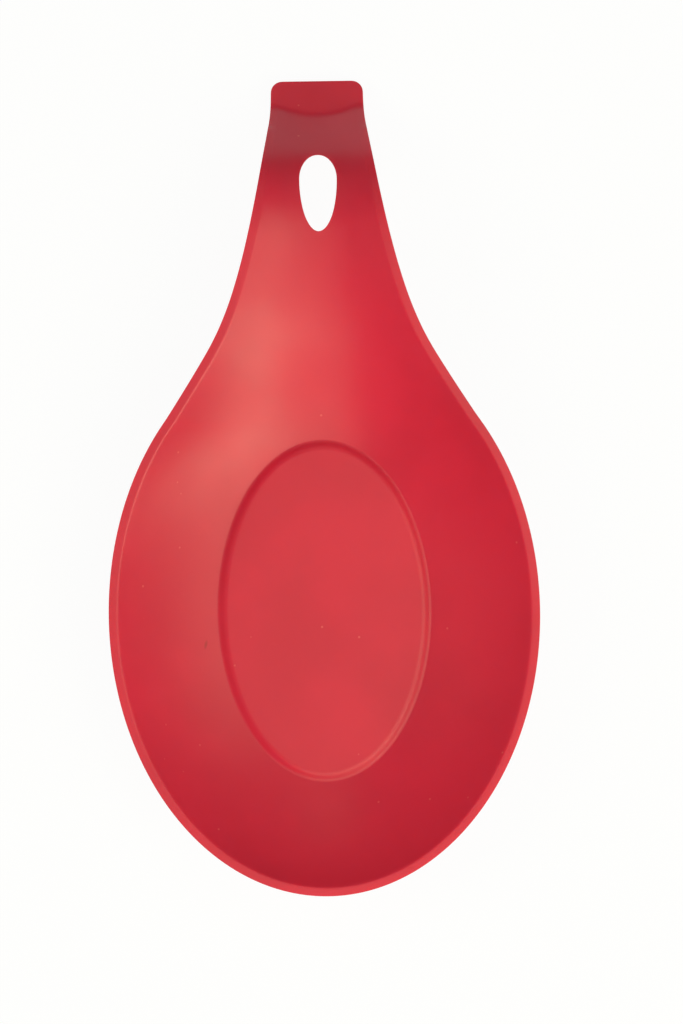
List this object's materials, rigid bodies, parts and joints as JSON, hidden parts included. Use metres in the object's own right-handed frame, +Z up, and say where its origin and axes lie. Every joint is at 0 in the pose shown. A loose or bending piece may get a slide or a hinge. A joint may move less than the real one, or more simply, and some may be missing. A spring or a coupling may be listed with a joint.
{
  "type": "spoon rest",
  "caption": "Spoon rest moulded in red silicone: an oval dish with a raised floor, and a trough handle that arches over to a flared toe and has an egg-shaped hanging hole.",
  "frame": {"origin": "on the table, under the middle of the rest's length and width", "axes": "+Y along the length from the dish towards the handle's toe, +Z up, +X to the right when seen from the dish with the handle ahead"},
  "size_m": [0.1054, 0.2, 0.0255],
  "materials": {
    "red_silicone": "soft satin, one colour all through"
  },
  "bodies": {
    "root": {"floor_panel": "red_silicone", "base_ring": "red_silicone", "dish_wall": "red_silicone", "handle": "red_silicone", "rim_strip": "red_silicone", "toe_lip": "red_silicone"}
  },
  "joints": []
}
